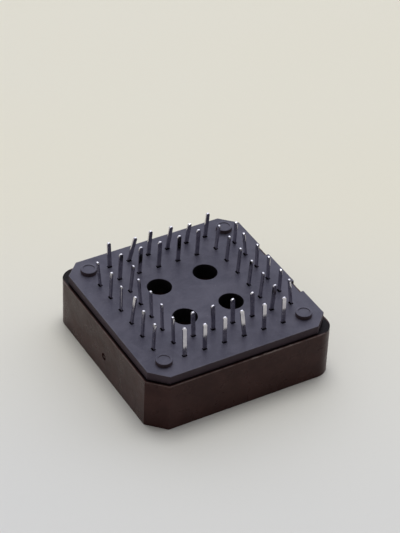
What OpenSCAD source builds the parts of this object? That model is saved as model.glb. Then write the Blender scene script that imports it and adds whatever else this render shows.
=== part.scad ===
// Through-hole chip-carrier socket, 44 contacts, lying on its chip side
// with the solder tails up. Millimetres, +Z up. The origin is the centre
// of the housing's mouth face, which the socket rests on. The cut corner
// of the housing points to -X -Y.

/* [Housing] */
// Outside width of the square housing
housing_w = 23.5; // [23.3:0.1:25]
// Height of the housing from its mouth to its back rim
housing_h = 6.25; // [6.1:0.05:7.5]
// Radius of the three rounded upright corners
corner_r = 2.0; // [1.0:0.1:2.4]
// Leg of the 45 degree cut on the orientation corner
cut_corner = 2.05; // [1.4:0.05:2.4]
// Half width of the chip pocket between the faces of the ribs
pocket_half = 8.45; // [8.4:0.05:8.6]
// Depth of the chip pocket
pocket_d = 4.7; // [4.4:0.1:4.8]
// Radius of the moulding gate's shallow recess on the -X face
gate_r = 0.45; // [0.3:0.05:0.6]
// Width of each contact slot in the walls
slot_w = 0.72; // [0.62:0.02:0.8]
// Bevel that leads the chip into the pocket
lead_in = 0.45; // [0.2:0.05:0.6]

/* [Base plate] */
// Width of the square base plate
plate_w = 22.7; // [22.4:0.1:23.0]
// Leg of the 45 degree cut on the plate's four corners
plate_cut = 1.85; // [1.6:0.05:2.4]
// Height of the plate's outer face above the housing's rim
plate_rise = 1.05; // [0.9:0.05:1.3]
// Shadow gap between the plate's edge and the rim under it
rim_gap = 0.03; // [0.02:0.01:0.2]
// Diameter of the four round holes
hole_d = 2.9; // [2.4:0.1:3.2]
// Distance of each hole from the centre lines
hole_at = 3.0; // [2.8:0.1:3.2]
// Diameter of the four corner standoffs
standoff_d = 1.9; // [1.7:0.1:2.1]
// Height of the corner standoffs
standoff_h = 0.50; // [0.3:0.02:0.6]
// Diameter of the shallow dish in each standoff's top
dish_d = 1.40; // [1.0:0.02:1.5]
// Depth of that dish
dish_h = 0.08; // [0.03:0.01:0.1]
// Distance of each standoff from the centre lines
standoff_at = 9.0; // [8.9:0.05:9.1]
// How far all four standoffs sit off centre toward +Y
standoff_off = 0.1; // [0:0.02:0.16]
// Depth of the two notches in the plate's +X edge
notch_d = 0.5; // [0.3:0.05:0.55]
// Length of the two notches
notch_l = 2.05; // [1.6:0.05:2.2]
// Length of each tail slot, along the side it belongs to
tail_slot_l = 0.56; // [0.54:0.02:0.8]
// Breadth of each tail slot
tail_slot_b = 0.42; // [0.36:0.02:0.5]

/* [Contacts] */
// Thickness of the contact strip
strip_t = 0.2; // [0.16:0.02:0.22]
// Width of the spring in its slot
spring_w = 0.5; // [0.4:0.02:0.56]
// Width of the shoulders that rest on the ribs
shoulder_w = 1.0; // [0.9:0.02:1.1]
// Width of a solder tail
tail_w = 0.46; // [0.4:0.02:0.5]
// Length of a solder tail above the plate
tail_l = 3.44; // [3.0:0.02:3.6]
// Bevel on the two corners of a tail's tip
tip_bevel = 0.11; // [0.06:0.01:0.14]

/* [Choice] */
// Which piece to draw

/* [Hidden] */
pitch = 1.27;              // contact pitch along each side
grid = 2.54;               // grid of the solder tails
row_out = 3.5 * grid;      // outer row of tails from the centre
row_in = 2.5 * grid;       // inner row of tails from the centre
hh = housing_w / 2;
ph = plate_w / 2;
floor_t = 0.55;            // floor between the pocket and the back recess
recess_z = pocket_d + floor_t;      // floor of the recess at the back
recess_half = 10.7;
boss_half = 10.6;
boss_z = recess_z + strip_t;        // the boss clamps the contact shoulders
plate_z = housing_h + rim_gap;      // underside of the plate's edge
plate_top = housing_h + plate_rise;
wall_back = 10.5;          // back of the contact slots
slot_in = 8.0;             // inner end of the slots through the floor
jog_r = 7.35;              // inner edge of the sideways run to the inner row
shoulder_out = 10.3;
eps = 0.01;

// Average lean of each row of tails, degrees toward +X and toward +Y:
// outer rows in the order front, right, back, left, then the inner rows.
row_lean = [[0, 3], [-4, -5], [3, -2], [3, 2],
            [-3, 0], [3, -1], [3, 2], [-1, 4]];
// Tails bent in handling: contact number, lean toward +X, lean toward +Y.
bent = [[1, 4, 11], [7, -5, 6], [10, 4, 0],
        [22, -4, -9], [20, -9, -4], [14, -4, -7], [12, -6, 2],
        [33, -2, 1], [31, 10, -6], [27, 3, -7], [25, -2, -14],
        [34, -6, 0], [38, 0, 0], [40, 9, 3],
        [30, 5, 4], [21, 3, -4], [35, 7, 2], [37, -4, 4]];

function side_of(n) = floor((n - 1) / 11);
function step_of(n) = (n - 1) % 11 - 5;
function is_outer(n) = abs(step_of(n)) % 2 == 1;
function found(n) = [for (b = bent) if (b[0] == n) b];
function lean_of(n) =
    len(found(n)) > 0 ? [found(n)[0][1], found(n)[0][2]]
                      : row_lean[side_of(n) + (is_outer(n) ? 0 : 4)];

// Unit vector of a 2D direction, and its left-hand normal
function unit2(v) = v / norm(v);
function left2(v) = [-v[1], v[0]];
// Mitred offset of point i on the path p by d to the left
function off2(p, i, d) =
    let (a = i > 0 ? unit2(p[i] - p[i - 1]) : unit2(p[1] - p[0]),
         b = i < len(p) - 1 ? unit2(p[i + 1] - p[i])
                            : unit2(p[i] - p[i - 1]),
         m = unit2(left2(a) + left2(b)))
    p[i] + m * d / (m * left2(a));
// Closed outline of a strip of thickness t about the path p
function ribbon(p, t) = concat(
    [for (i = [0 : len(p) - 1]) off2(p, i, t / 2)],
    [for (i = [len(p) - 1 : -1 : 0]) off2(p, i, -t / 2)]);
function arc2(c, r, a0, a1, n) =
    [for (i = [0 : n]) c + r * [cos(a0 + (a1 - a0) * i / n),
                                sin(a0 + (a1 - a0) * i / n)]];

// Square of half width h with all four corners cut at 45 degrees
module cut_square(h, c) {
    polygon([[-h, -h + c], [-h + c, -h], [h - c, -h], [h, -h + c],
             [h, h - c], [h - c, h], [-h + c, h], [-h, h - c]]);
}

// Outline of the housing: one cut corner, three rounded ones
module housing_outline() {
    r = corner_r;
    polygon([[-hh, -hh + cut_corner], [-hh + cut_corner, -hh],
             [hh - r, -hh], [hh, -hh + r], [hh, hh - r], [hh - r, hh],
             [-hh + r, hh], [-hh, hh - r]]);
    for (c = [[1, -1], [1, 1], [-1, 1]])
        translate([c[0] * (hh - r), c[1] * (hh - r)])
            circle(r = r, $fn = 64);
}

// Slots for the contacts along one side of the pocket
module side_slots() {
    for (k = [-5 : 5]) {
        translate([k * pitch - slot_w / 2, -wall_back, -eps])
            cube([slot_w, wall_back - pocket_half + eps,
                  pocket_d + 2 * eps]);
        translate([k * pitch - slot_w / 2, -wall_back, pocket_d - eps])
            cube([slot_w, wall_back - slot_in, floor_t + 2 * eps]);
    }
}

// Bevel along one side of the pocket's mouth
module side_lead_in() {
    translate([-pocket_half - lead_in, 0, 0]) rotate([90, 0, 90])
        linear_extrude(2 * (pocket_half + lead_in))
            polygon([[-pocket_half - lead_in, -eps],
                     [-pocket_half + eps, -eps],
                     [-pocket_half + eps, lead_in]]);
}

module housing() {
    color([0.17, 0.13, 0.12]) {
        difference() {
            linear_extrude(housing_h) housing_outline();
            // chip pocket, four holes in its floor, and the recess for
            // the base plate
            translate([-pocket_half, -pocket_half, -eps])
                cube([2 * pocket_half, 2 * pocket_half, pocket_d + eps]);
            for (x = [-1, 1], y = [-1, 1])
                translate([x * hole_at, y * hole_at, pocket_d - 1])
                    cylinder(d = hole_d, h = housing_h, $fn = 64);
            translate([0, 0, recess_z])
                linear_extrude(housing_h) cut_square(recess_half, plate_cut);
            for (s = [0 : 3]) rotate([0, 0, 90 * s]) {
                side_slots();
                side_lead_in();
            }
            // slots for the extraction tool in two opposite corners
            for (a = [-45, 135]) rotate([0, 0, a])
                translate([10.2, -1.15, -eps]) cube([3.6, 2.3, 4.2]);
            // shallow recess of the moulding gate
            translate([-hh - 1, -0.13, 2.57]) rotate([0, 90, 0])
                cylinder(r = gate_r, h = 1.18, $fn = 48);
        }
        // broken-off nub of the gate, inside its recess
        translate([-hh + 0.04, -0.13, 2.57]) rotate([0, 90, 0])
            cylinder(r = 0.17, h = 0.3, $fn = 32);
        // filled pocket corner that matches the chip's bevelled corner
        translate([0, 0, lead_in]) linear_extrude(pocket_d - lead_in + eps)
            polygon([[-pocket_half - eps, -pocket_half - eps],
                     [-pocket_half + 1.15, -pocket_half - eps],
                     [-pocket_half - eps, -pocket_half + 1.15]]);
        // low pads under the chip's corners
        for (x = [-1, 1], y = [-1, 1])
            translate([x * 6.6 - 0.8, y * 6.6 - 0.8, pocket_d - 0.45])
                cube([1.6, 1.6, 0.45 + eps]);
    }
}

// Tail slots of one side: six outer, five inner, one step to the right
module side_tail_slots() {
    for (k = [-5 : 5]) {
        outer = abs(k) % 2 == 1;
        translate([(outer ? k : k + 1) * pitch - tail_slot_l / 2,
                   -(outer ? row_out : row_in) - tail_slot_b / 2, 0])
            cube([tail_slot_l, tail_slot_b, 20]);
    }
}

module base_plate() {
    color([0.26, 0.25, 0.30])
    difference() {
        union() {
            translate([0, 0, plate_z])
                linear_extrude(plate_top - plate_z) cut_square(ph, plate_cut);
            translate([0, 0, boss_z])
                linear_extrude(plate_z - boss_z + eps)
                    cut_square(boss_half, plate_cut);
            // corner feet of the boss stand on the recess floor
            for (x = [-1, 1], y = [-1, 1])
                translate([x * 8.8 - 0.6, y * 8.8 - 0.6, recess_z])
                    cube([1.2, 1.2, boss_z - recess_z + eps]);
            // middle pad of the boss, round the four holes
            translate([-5.6, -5.6, recess_z])
                cube([11.2, 11.2, boss_z - recess_z + eps]);
            for (x = [-1, 1], y = [-1, 1])
                translate([x * standoff_at + standoff_off / 2,
                           y * standoff_at + standoff_off,
                           plate_top - eps])
                    cylinder(d = standoff_d, h = standoff_h + eps,
                             $fn = 64);
        }
        for (x = [-1, 1], y = [-1, 1])
            translate([x * hole_at, y * hole_at, 0])
                cylinder(d = hole_d, h = 20, $fn = 64);
        for (x = [-1, 1], y = [-1, 1])
            translate([x * standoff_at + standoff_off / 2,
                       y * standoff_at + standoff_off,
                       plate_top + standoff_h - dish_h])
                cylinder(d = dish_d, h = 1, $fn = 64);
        for (s = [0 : 3]) rotate([0, 0, 90 * s]) side_tail_slots();
        for (y = [3.6, -4.1])
            translate([ph - notch_d, y - notch_l / 2, plate_z - eps])
                cube([notch_d + 1, notch_l, 5]);
    }
}

// Spring of one contact, seen from the side: down the back of the slot,
// round a bend near the mouth, and up to the rounded contact point
module spring() {
    path = concat([[10.2, recess_z + strip_t / 2]],
                  arc2([9.75, 1.55], 0.45, 0, -165, 8),
                  [[8.62, 2.62]],
                  arc2([8.68, 3.0], 0.36, 215, 150, 4),
                  [[8.85, 4.0]]);
    translate([-spring_w / 2, 0, 0]) rotate([90, 0, 90])
        linear_extrude(spring_w)
            polygon([for (q = ribbon(path, strip_t)) [-q[0], q[1]]]);
}

// Free length of a tail, with bevelled tip, standing on the origin
module tail_blade() {
    h = tail_l + 0.08;
    translate([0, strip_t / 2, -0.08]) rotate([90, 0, 0])
        linear_extrude(strip_t)
            polygon([[-tail_w / 2, 0], [tail_w / 2, 0],
                     [tail_w / 2, h - 1.6 * tip_bevel],
                     [tail_w / 2 - tip_bevel, h],
                     [-tail_w / 2 + tip_bevel, h],
                     [-tail_w / 2, h - 1.6 * tip_bevel]]);
}

// One stamped contact. Odd steps take an outer tail in line with the
// spring; even steps run one step sideways to a tail in the inner row.
module contact(n) {
    s = side_of(n);
    k = step_of(n);
    outer = is_outer(n);
    row = outer ? row_out : row_in;
    tx = outer ? 0 : pitch;
    inner_edge = row_out - strip_t / 2;
    lean = lean_of(n);
    color([0.62, 0.60, 0.60])
    rotate([0, 0, 90 * s]) translate([k * pitch, 0, 0]) {
        spring();
        // shoulders, clamped between the ribs and the base plate
        translate([-shoulder_w / 2, -shoulder_out, recess_z])
            cube([shoulder_w, shoulder_out - inner_edge, strip_t]);
        if (!outer) {
            translate([-spring_w / 2, -inner_edge - eps, recess_z])
                cube([spring_w, inner_edge - jog_r + eps, strip_t]);
            translate([-spring_w / 2, -jog_r - spring_w, recess_z])
                cube([pitch + spring_w, spring_w, strip_t]);
            translate([pitch - tail_w / 2, -jog_r - eps, recess_z])
                cube([tail_w, jog_r - row_in + strip_t / 2 + eps,
                      strip_t]);
        }
        // tail through the base plate, then its free, leaning length
        translate([tx - tail_w / 2, -row - strip_t / 2, recess_z])
            cube([tail_w, strip_t, plate_top - recess_z]);
        translate([tx, -row, plate_top]) rotate([0, 0, -90 * s])
            rotate([-lean[1], lean[0], 0]) rotate([0, 0, 90 * s])
                tail_blade();
    }
}

housing();
base_plate();
contact(1);  // contact_01
contact(2);  // contact_02
contact(3);  // contact_03
contact(4);  // contact_04
contact(5);  // contact_05
contact(6);  // contact_06
contact(7);  // contact_07
contact(8);  // contact_08
contact(9);  // contact_09
contact(10);  // contact_10
contact(11);  // contact_11
contact(12);  // contact_12
contact(13);  // contact_13
contact(14);  // contact_14
contact(15);  // contact_15
contact(16);  // contact_16
contact(17);  // contact_17
contact(18);  // contact_18
contact(19);  // contact_19
contact(20);  // contact_20
contact(21);  // contact_21
contact(22);  // contact_22
contact(23);  // contact_23
contact(24);  // contact_24
contact(25);  // contact_25
contact(26);  // contact_26
contact(27);  // contact_27
contact(28);  // contact_28
contact(29);  // contact_29
contact(30);  // contact_30
contact(31);  // contact_31
contact(32);  // contact_32
contact(33);  // contact_33
contact(34);  // contact_34
contact(35);  // contact_35
contact(36);  // contact_36
contact(37);  // contact_37
contact(38);  // contact_38
contact(39);  // contact_39
contact(40);  // contact_40
contact(41);  // contact_41
contact(42);  // contact_42
contact(43);  // contact_43
contact(44);  // contact_44
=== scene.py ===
import bpy
import bmesh
import math
from mathutils import Matrix, Vector, noise


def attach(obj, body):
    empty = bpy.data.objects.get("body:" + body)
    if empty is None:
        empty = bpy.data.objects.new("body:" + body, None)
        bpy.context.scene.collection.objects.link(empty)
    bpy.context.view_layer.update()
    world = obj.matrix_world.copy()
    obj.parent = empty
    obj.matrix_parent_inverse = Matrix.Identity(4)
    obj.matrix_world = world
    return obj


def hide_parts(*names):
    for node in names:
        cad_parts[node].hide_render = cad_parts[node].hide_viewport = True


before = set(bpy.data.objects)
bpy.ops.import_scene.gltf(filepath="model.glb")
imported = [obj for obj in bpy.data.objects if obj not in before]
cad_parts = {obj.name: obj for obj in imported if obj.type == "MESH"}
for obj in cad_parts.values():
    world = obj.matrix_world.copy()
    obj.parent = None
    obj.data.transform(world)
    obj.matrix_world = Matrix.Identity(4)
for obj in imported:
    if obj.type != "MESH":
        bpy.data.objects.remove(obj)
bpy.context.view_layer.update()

MM = 0.001

scene = bpy.context.scene
scene.view_settings.view_transform = "Standard"
scene.view_settings.look = "None"


# ---------------------------------------------------------------- helpers
def link(ob):
    scene.collection.objects.link(ob)
    return ob


def refined(node, name, rule, width, segments=3, sharp=40.0):
    """A finer copy of a CAD node: flats rejoined, every real edge broken by
    the small radius that rule gives it (mm), with clean shading normals."""
    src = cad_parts[node].data
    bm = bmesh.new()
    bm.from_mesh(src)
    bmesh.ops.scale(bm, vec=(1000, 1000, 1000), verts=bm.verts)
    bmesh.ops.remove_doubles(bm, verts=bm.verts, dist=0.0008)
    bmesh.ops.dissolve_limit(bm, angle_limit=math.radians(0.6),
                             verts=bm.verts, edges=bm.edges)
    bmesh.ops.recalc_face_normals(bm, faces=bm.faces)
    me = bpy.data.meshes.new(name)
    lay = bm.edges.layers.float.new("bevel_weight_edge")
    for e in bm.edges:
        if len(e.link_faces) != 2:
            continue
        a = e.calc_face_angle(0.0)
        if a < math.radians(24):
            continue
        mid = (e.verts[0].co + e.verts[1].co) / 2
        e[lay] = min(1.0, rule(mid, e) / width)
    bm.to_mesh(me)
    bm.free()
    ob = link(bpy.data.objects.new(name, me))
    bv = ob.modifiers.new("edge", "BEVEL")
    bv.limit_method = "WEIGHT"
    bv.width = width
    bv.segments = segments
    bv.use_clamp_overlap = True
    bv.miter_outer = "MITER_SHARP"
    dg = bpy.context.evaluated_depsgraph_get()
    fine = bpy.data.meshes.new_from_object(ob.evaluated_get(dg))
    ob.modifiers.clear()
    ob.data = fine
    bpy.data.meshes.remove(me)
    fine.name = name
    fine.transform(Matrix.Scale(MM, 4))
    for p in fine.polygons:
        p.use_smooth = True
    fine.set_sharp_from_angle(angle=math.radians(sharp))
    wn = ob.modifiers.new("normals", "WEIGHTED_NORMAL")
    wn.keep_sharp = True
    wn.weight = 80
    fine.materials.clear()
    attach(ob, "root")
    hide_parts(node)
    return ob


class Nodes:
    """Short spelling for building a material's node tree."""

    def __init__(self, name):
        self.mat = bpy.data.materials.new(name)
        self.mat.use_nodes = True
        self.t = self.mat.node_tree
        self.t.nodes.clear()
        self.out = self.add("ShaderNodeOutputMaterial")
        self.bsdf = self.add("ShaderNodeBsdfPrincipled")
        self.join(self.bsdf.outputs[0], self.out.inputs["Surface"])
        co = self.add("ShaderNodeTexCoord")
        self.pos = self.vmath("SCALE", co.outputs["Object"], scale=1000.0)
        self.xyz = self.add("ShaderNodeSeparateXYZ")
        self.join(self.pos, self.xyz.inputs[0])
        self.x, self.y, self.z = self.xyz.outputs

    def add(self, kind, **kw):
        n = self.t.nodes.new(kind)
        for k, v in kw.items():
            setattr(n, k, v)
        return n

    def join(self, a, b):
        self.t.links.new(a, b)

    def put(self, sock, v):
        if isinstance(v, bpy.types.NodeSocket):
            self.join(v, sock)
        elif isinstance(v, (tuple, list)) and sock.type == "RGBA":
            sock.default_value = (*v[:3], 1.0)
        else:
            sock.default_value = v

    def vmath(self, op, a, b=None, scale=None):
        n = self.add("ShaderNodeVectorMath", operation=op)
        self.put(n.inputs[0], a)
        if b is not None:
            self.put(n.inputs[1], b)
        if scale is not None:
            n.inputs["Scale"].default_value = scale
        return n.outputs[0]

    def math(self, op, a, b=0.0, c=0.0, clamp=False):
        n = self.add("ShaderNodeMath", operation=op, use_clamp=clamp)
        for s, v in zip(n.inputs, (a, b, c)):
            self.put(s, v)
        return n.outputs[0]

    def smooth(self, v, lo, hi, a=0.0, b=1.0):
        n = self.add("ShaderNodeMapRange", interpolation_type="SMOOTHSTEP")
        for s, q in zip(n.inputs, (v, lo, hi, a, b)):
            self.put(s, q)
        return n.outputs[0]

    def noise(self, scale, detail=3.0, rough=0.5, vec=None, dist=0.0,
              color=False):
        n = self.add("ShaderNodeTexNoise")
        self.join(vec if vec is not None else self.pos, n.inputs["Vector"])
        n.inputs["Scale"].default_value = scale
        n.inputs["Detail"].default_value = detail
        n.inputs["Roughness"].default_value = rough
        n.inputs["Distortion"].default_value = dist
        return n.outputs["Color" if color else "Fac"]

    def mapped(self, scale=(1, 1, 1), rot=(0, 0, 0), loc=(0, 0, 0)):
        n = self.add("ShaderNodeMapping")
        self.join(self.pos, n.inputs["Vector"])
        n.inputs["Scale"].default_value = scale
        n.inputs["Rotation"].default_value = rot
        n.inputs["Location"].default_value = loc
        return n.outputs[0]

    def mix(self, fac, a, b, kind="MIX"):
        n = self.add("ShaderNodeMix", data_type="RGBA", blend_type=kind)
        self.put(n.inputs[0], fac)
        self.put(n.inputs[6], a)
        self.put(n.inputs[7], b)
        return n.outputs[2]

    def bump(self, h, dist, strength=1.0, normal=None):
        n = self.add("ShaderNodeBump")
        self.join(h, n.inputs["Height"])
        n.inputs["Distance"].default_value = dist
        n.inputs["Strength"].default_value = strength
        if normal is not None:
            self.join(normal, n.inputs["Normal"])
        return n.outputs[0]


# -------------------------------------------------------------- materials
def plastic(name, dark, light, tint, rough, spec=0.5):
    """Moulded filled plastic: cloudy colour, fine spark-eroded grain,
    dust and a few hairline scratches."""
    n = Nodes(name)
    cloud = n.noise(0.33, 4.0, 0.55, dist=0.6)
    fine = n.noise(2.6, 4.0, 0.6)
    grain = n.noise(16.0, 3.0, 0.65)
    col = n.mix(n.smooth(cloud, 0.36, 0.66), dark, light)
    col = n.mix(n.smooth(fine, 0.45, 0.72, 0.0, 0.35), col, tint)
    col = n.mix(n.smooth(grain, 0.52, 0.80, 0.0, 0.18), col,
                tuple(min(1.0, c * 2.4) for c in light))
    # dust: sparse pale specks on the upward faces
    vor = n.add("ShaderNodeTexVoronoi", feature="F1")
    n.join(n.pos, vor.inputs["Vector"])
    vor.inputs["Scale"].default_value = 1.7
    pick = n.add("ShaderNodeSeparateColor")
    n.join(vor.outputs["Color"], pick.inputs[0])
    speck = n.math("MULTIPLY",
                   n.smooth(vor.outputs["Distance"], 0.035, 0.085, 1.0, 0.0),
                   n.smooth(pick.outputs[0], 0.80, 0.86))
    geo = n.add("ShaderNodeNewGeometry")
    nz = n.add("ShaderNodeSeparateXYZ")
    n.join(geo.outputs["Normal"], nz.inputs[0])
    up = n.smooth(nz.outputs[2], 0.3, 0.9)
    dust = n.math("MULTIPLY", n.math("MULTIPLY", speck, up), 0.30)
    col = n.mix(dust, col, (0.42, 0.40, 0.38))
    # hairline scratches in two directions
    scr = n.noise(1.0, 2.0, 0.5, vec=n.mapped((0.10, 5.5, 1.0),
                                              (0, 0, math.radians(24))))
    scr2 = n.noise(1.0, 2.0, 0.5, vec=n.mapped((6.5, 0.12, 1.0),
                                               (0, 0, math.radians(-38)),
                                               (7.3, 2.1, 0)))
    s1 = n.math("MULTIPLY", n.smooth(scr, 0.655, 0.675), up)
    s2 = n.math("MULTIPLY", n.smooth(scr2, 0.665, 0.685), up)
    line = n.math("MAXIMUM", s1, s2)
    col = n.mix(n.math("MULTIPLY", line, 0.03), col, (0.30, 0.29, 0.30))
    n.put(n.bsdf.inputs["Base Color"], col)
    r = n.smooth(n.noise(0.6, 3.0, 0.5, dist=0.3), 0.3, 0.7,
                 rough - 0.05, rough + 0.07)
    n.put(n.bsdf.inputs["Roughness"],
          n.math("ADD", r, n.math("MULTIPLY", line, 0.1)))
    n.bsdf.inputs["Specular IOR Level"].default_value = spec
    n.bsdf.inputs["IOR"].default_value = 1.52
    b = n.bump(grain, 0.000012, 0.5)
    b = n.bump(fine, 0.00003, 0.25, b)
    b = n.bump(n.noise(0.45, 2.0), 0.00020, 0.10, b)
    n.put(n.bsdf.inputs["Normal"], b)
    return n


def housing_material():
    n = plastic("housing_plastic", (0.031, 0.0110, 0.0098),
                (0.044, 0.0175, 0.0150), (0.056, 0.025, 0.021), 0.31, 0.14)
    ax = n.math("ABSOLUTE", n.x)
    ay = n.math("ABSOLUTE", n.y)
    out = n.math("MAXIMUM", ax, ay)
    cutc = n.math("MULTIPLY", n.math("ADD", n.math("ADD", n.x, n.y), 21.45),
                  -1.0)
    # painted shade: the narrow ledge between the plate and the rim is painted
    # near black, with its reflection tinted dark, where shade falls
    top = n.smooth(n.z, 6.12, 6.22)
    ledge_shade = n.math("MULTIPLY",
                 n.math("MULTIPLY", n.smooth(out, 11.52, 11.66, 1.0, 0.0),
                        n.smooth(cutc, -0.24, -0.10, 1.0, 0.0)), top)
    # painted highlight: a paler band along the outer rim round the back of the
    # housing, where the rounded edge catches the light
    edge = n.math("MAXIMUM", n.smooth(out, 11.62, 11.71),
                  n.smooth(cutc, -0.12, -0.03))
    rim_highlight = n.math("MULTIPLY", edge, n.smooth(n.z, 6.10, 6.20))
    wob = n.smooth(n.noise(1.3, 4.0, 0.6), 0.30, 0.62, 0.35, 1.0)
    # painted highlight: the front stretch of the -Y rim is painted palest
    front_rim_highlight = n.math("MULTIPLY", n.smooth(n.y, -11.55, -11.66),
                  n.math("MULTIPLY", n.smooth(n.x, 0.0, 1.5),
                         n.smooth(n.x, 7.4, 5.8)))
    amount = n.math("ADD", 0.42, n.math("MULTIPLY", front_rim_highlight, 0.50))
    col = n.bsdf.inputs["Base Color"].links[0].from_socket
    # painted highlight mixed into the rim colour
    col = n.mix(n.math("MULTIPLY", n.math("MULTIPLY", rim_highlight, wob), amount),
                col, (0.20, 0.165, 0.150))
    # painted shade mixed into the ledge colour
    col = n.mix(n.math("MULTIPLY", ledge_shade, 0.93), col, (0.002, 0.0015, 0.002))
    n.put(n.bsdf.inputs["Base Color"], col)
    # painted shade: the ledge's reflection is tinted dark
    n.put(n.bsdf.inputs["Specular Tint"],
          n.mix(ledge_shade, (1.0, 0.86, 0.84), (0.10, 0.10, 0.10)))
    return n.mat


def plate_material():
    # painted reflection: the slate-blue cast of the plate colour stands in for
    # the bluish light its top reflects
    n = plastic("plate_plastic", (0.031, 0.0300, 0.0470),
                (0.052, 0.0500, 0.0700), (0.062, 0.060, 0.082), 0.44, 0.36)
    ax = n.math("ABSOLUTE", n.x)
    ay = n.math("ABSOLUTE", n.y)
    out = n.math("MAXIMUM", ax, ay)
    diag = n.math("SUBTRACT", n.math("ADD", ax, ay), 9.50)
    out = n.math("MAXIMUM", out, diag)
    # painted highlight: a paler band along the plate's top outer edge, where
    # its rounded edge catches the light
    rim_highlight = n.math("MULTIPLY", n.smooth(out, 11.18, 11.33),
                 n.smooth(n.z, 7.10, 7.24))
    wob = n.smooth(n.noise(0.9, 4.0, 0.6), 0.25, 0.65, 0.25, 1.0)
    col = n.bsdf.inputs["Base Color"].links[0].from_socket
    col = n.mix(n.math("MULTIPLY", n.math("MULTIPLY", rim_highlight, wob), 0.35), col,
                (0.16, 0.15, 0.155))
    # painted light: faces turned sideways are painted brown and duller than
    # the slate upward faces, a colour split set by which way each face points
    geo = n.add("ShaderNodeNewGeometry")
    nz = n.add("ShaderNodeSeparateXYZ")
    n.join(geo.outputs["True Normal"], nz.inputs[0])
    side = n.smooth(nz.outputs[2], 0.75, 0.35)
    col = n.mix(n.math("MULTIPLY", side, 0.88), col, (0.048, 0.032, 0.037))
    # painted shade: the walls of the holes and slots are painted all but black
    bore_shade = n.math("MULTIPLY", side, n.smooth(out, 11.0, 11.15, 1.0, 0.0))
    bore_shade = n.math("MULTIPLY", bore_shade, n.smooth(n.z, 7.32, 7.22))
    col = n.mix(bore_shade, col, (0.003, 0.003, 0.004))
    n.put(n.bsdf.inputs["Base Color"], col)
    # painted light: side faces get a darker, warmer reflection tint than the
    # upward faces
    n.put(n.bsdf.inputs["Specular Tint"],
          n.mix(side, (0.88, 0.86, 1.0), (0.55, 0.48, 0.50)))
    rough = n.bsdf.inputs["Roughness"].links[0].from_socket
    n.put(n.bsdf.inputs["Roughness"],
          n.math("ADD", rough, n.math("MULTIPLY", side, 0.22)))
    return n.mat


def tin_material():
    n = Nodes("tin_strip")
    blot = n.noise(1.6, 4.0, 0.55, dist=0.5)
    fine = n.noise(14.0, 3.0, 0.6)
    draw = n.noise(1.0, 3.0, 0.5, vec=n.mapped((26.0, 26.0, 1.3)))
    col = n.mix(n.smooth(blot, 0.35, 0.70), (0.52, 0.50, 0.54),
                (0.68, 0.66, 0.68))
    col = n.mix(n.smooth(fine, 0.58, 0.88, 0.0, 0.10), col,
                (0.34, 0.31, 0.31))
    # painted highlight: the upper tips of the strips are painted bright
    tip_highlight = n.smooth(n.z, 10.40, 10.66)
    col = n.mix(n.math("MULTIPLY", tip_highlight, 0.6), col, (0.86, 0.85, 0.86))
    # painted shade: the strip is painted dark where it leaves its slot
    foot_shade = n.smooth(n.z, 7.62, 7.30)
    col = n.mix(n.math("MULTIPLY", foot_shade, 0.75), col, (0.10, 0.09, 0.10))
    n.put(n.bsdf.inputs["Base Color"], col)
    n.bsdf.inputs["Metallic"].default_value = 1.0
    n.put(n.bsdf.inputs["Roughness"],
          n.smooth(blot, 0.3, 0.75, 0.11, 0.19))
    b = n.bump(draw, 0.000004, 0.4)
    b = n.bump(fine, 0.000004, 0.25, b)
    n.put(n.bsdf.inputs["Normal"], b)
    return n.mat


HOUSING = housing_material()
PLATE = plate_material()
TIN = tin_material()


# ------------------------------------------------------------------ pieces
def housing_rule(m, e):
    outer = (max(abs(m.x), abs(m.y)) > 11.70 or m.x + m.y < -21.3 or
             Vector((m.x, m.y)).length > 15.0)
    if outer and m.z > 6.2:
        return 0.10
    if outer and m.z < 0.05:
        return 0.10
    if outer:
        return 0.11
    if m.z > 6.2:
        return 0.04
    return 0.035


def plate_rule(m, e):
    big = (max(abs(m.x), abs(m.y)) > 11.3 or abs(m.x) + abs(m.y) > 20.6)
    if big and m.z > 7.29:
        return 0.06 if max(m.x, m.y) > 11.3 else 0.12
    if big and m.z < 6.5:
        return 0.02
    if big:
        return 0.09
    if m.z > 7.6:
        r = Vector((m.x - math.copysign(9.0, m.x) - 0.05,
                    m.y - math.copysign(9.0, m.y) - 0.10)).length
        return 0.085 if r > 0.82 else 0.045
    if m.z > 7.29:
        r = Vector((abs(m.x) - 3.0, abs(m.y) - 3.0)).length
        return 0.06 if r < 1.7 else 0.03
    return 0.03


body = refined("housing", "housing_body", housing_rule, 0.11)
body.data.materials.append(HOUSING)
plate = refined("base_plate", "plate_body", plate_rule, 0.13)
plate.data.materials.append(PLATE)


def strip_rule(m, e):
    if m.z > 10.2:
        return 0.05
    return 0.03


for i in range(1, 45):
    c = refined("contact_%02d" % i, "strip_%02d" % i, strip_rule,
                0.05, segments=2)
    c.data.materials.append(TIN)


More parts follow.
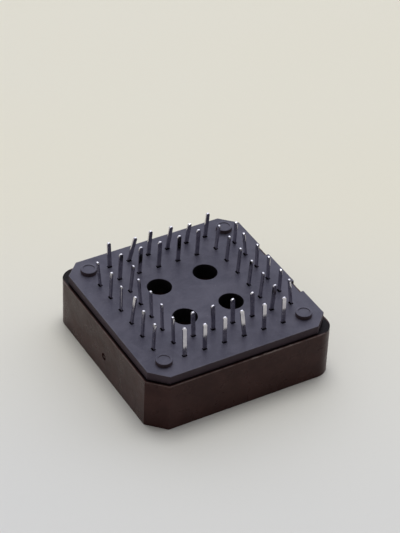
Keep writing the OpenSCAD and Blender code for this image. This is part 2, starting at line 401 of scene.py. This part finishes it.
# A broken line of moulding flash stands on the front of the -Y rim.
def ridge(name, x0, x1, y, z, tall, seed, steps=90):
    verts, faces = [], []
    for i in range(steps + 1):
        t = i / steps
        x = x0 + (x1 - x0) * t
        k = noise.noise(Vector((x * 1.9, seed, 0.3)))
        k2 = noise.noise(Vector((x * 6.5, seed, 4.1)))
        fade = min(1.0, 9 * t, 9 * (1 - t))
        h = tall * fade * max(0.06, 0.45 + 0.75 * k + 0.45 * k2)
        w = 0.030 + 0.035 * fade * max(0.0, 0.6 + k)
        dy = 0.015 * noise.noise(Vector((x * 3.0, seed, 9.0)))
        for a in (-90, -45, 0, 45, 90):
            r = math.radians(a)
            verts.append((x * MM, (y + dy + w * math.sin(r)) * MM,
                          (z - 0.02 + (h + 0.02) * math.cos(r)) * MM))
    for i in range(steps):
        for j in range(4):
            a = i * 5 + j
            faces.append((a, a + 5, a + 6, a + 1))
        faces.append((i * 5, i * 5 + 4, i * 5 + 9, i * 5 + 5))
    faces.append((0, 1, 2, 3, 4))
    faces.append(tuple(steps * 5 + j for j in (4, 3, 2, 1, 0)))
    me = bpy.data.meshes.new(name)
    me.from_pydata(verts, [], faces)
    for p in me.polygons:
        p.use_smooth = True
    ob = link(bpy.data.objects.new(name, me))
    bm = bmesh.new()
    bm.from_mesh(me)
    bmesh.ops.recalc_face_normals(bm, faces=bm.faces)
    bm.to_mesh(me)
    bm.free()
    me.materials.append(HOUSING)
    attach(ob, "root")
    return ob


ridge("rim_flash_a", 0.3, 1.2, -11.66, 6.24, 0.10, 1.7, 30)
ridge("rim_flash_b", 1.9, 4.9, -11.66, 6.24, 0.12, 5.2, 90)
ridge("rim_flash_c", 5.3, 6.7, -11.66, 6.24, 0.09, 8.4, 40)


# ------------------------------------------------------------------- floor
def floor_material():
    n = Nodes("floor_card")
    a = n.noise(0.012, 3.0, 0.5)
    f = n.noise(1.4, 4.0, 0.6)
    # painted light: along the line of sight the card is painted cooler and
    # darker near the front, lighter and warmer toward the back
    run = n.math("ADD", n.math("MULTIPLY", n.x, 0.516),
                 n.math("MULTIPLY", n.y, 0.856))
    painted_falloff = n.smooth(run, -34.0, 34.0)
    col = n.mix(painted_falloff, (0.660, 0.664, 0.634), (0.735, 0.712, 0.585))
    col = n.mix(n.smooth(a, 0.3, 0.7, 0.0, 0.25), col, (0.72, 0.715, 0.645))
    col = n.mix(n.smooth(f, 0.5, 0.8, 0.0, 0.06), col, (0.58, 0.57, 0.54))
    n.put(n.bsdf.inputs["Base Color"], col)
    n.bsdf.inputs["Roughness"].default_value = 0.62
    n.bsdf.inputs["Specular IOR Level"].default_value = 0.25
    n.put(n.bsdf.inputs["Normal"], n.bump(f, 0.00002, 0.3))
    return n.mat


fm = bpy.data.meshes.new("floor")
s = 1.6
fm.from_pydata([(-s, -s, 0), (s, -s, 0), (s, s, 0), (-s, s, 0)], [],
               [(0, 1, 2, 3)])
floor = link(bpy.data.objects.new("floor", fm))
floor.location.z = -0.00001
fm.materials.append(floor_material())


# ------------------------------------------------------------------ lights
def area(name, at, size, power, color, aim=(0, 0, 0.004)):
    d = bpy.data.lights.new(name, "AREA")
    d.shape = "SQUARE"
    d.size = size
    d.energy = power
    d.color = color
    o = link(bpy.data.objects.new(name, d))
    o.location = at
    o.rotation_euler = (Vector(aim) - Vector(at)).to_track_quat(
        "-Z", "Y").to_euler()
    return o


area("overhead", (0.06, 0.11, 0.62), 0.34, 1.6, (1.0, 0.975, 0.94))

world = bpy.data.worlds.new("studio")
scene.world = world
world.use_nodes = True
wt = world.node_tree
bg = wt.nodes["Background"]
tc = wt.nodes.new("ShaderNodeTexCoord")


def ramp(sock, lo, hi):
    m = wt.nodes.new("ShaderNodeMapRange")
    m.interpolation_type = "SMOOTHSTEP"
    wt.links.new(sock, m.inputs[0])
    m.inputs[1].default_value = lo
    m.inputs[2].default_value = hi
    return m.outputs[0]


def blend(fac, a, b):
    m = wt.nodes.new("ShaderNodeMix")
    m.data_type = "RGBA"
    wt.links.new(fac, m.inputs[0])
    for sock, v in ((m.inputs[6], a), (m.inputs[7], b)):
        if isinstance(v, tuple):
            sock.default_value = (*v, 1.0)
        else:
            wt.links.new(v, sock)
    return m.outputs[2]


def toward(v):
    d = wt.nodes.new("ShaderNodeVectorMath")
    d.operation = "DOT_PRODUCT"
    wt.links.new(tc.outputs["Generated"], d.inputs[0])
    d.inputs[1].default_value = v
    return d.outputs["Value"]


# a big pale wall behind, darker room in front, a little fill on the left
sky = blend(ramp(toward((0.516, 0.856, 0.0)), -0.25, 0.55),
            (0.15, 0.146, 0.15), (1.25, 1.28, 1.45))
side = ramp(toward((-0.90, 0.30, 0.25)), 0.35, 0.95)
sky = blend(side, sky, (0.46, 0.45, 0.47))
wt.links.new(sky, bg.inputs["Color"])
bg.inputs["Strength"].default_value = 1.0

# ------------------------------------------------------------------ camera
cam = bpy.data.cameras.new("camera")
cam.lens = 140.7
cam.sensor_width = 36.0
cam.sensor_fit = "AUTO"
cam.clip_start = 0.01
cam.clip_end = 10.0
co = link(bpy.data.objects.new("camera", cam))
R = Matrix(((0.86948, -0.49272, 0.03506),
            (-0.27978, -0.54972, -0.7871),
            (0.40709, 0.67456, -0.61582)))
co.matrix_world = Matrix((
    (R[0][0], -R[1][0], -R[2][0], -0.09533),
    (R[0][1], -R[1][1], -R[2][1], -0.15876),
    (R[0][2], -R[1][2], -R[2][2], 0.15603),
    (0, 0, 0, 1)))
scene.camera = co
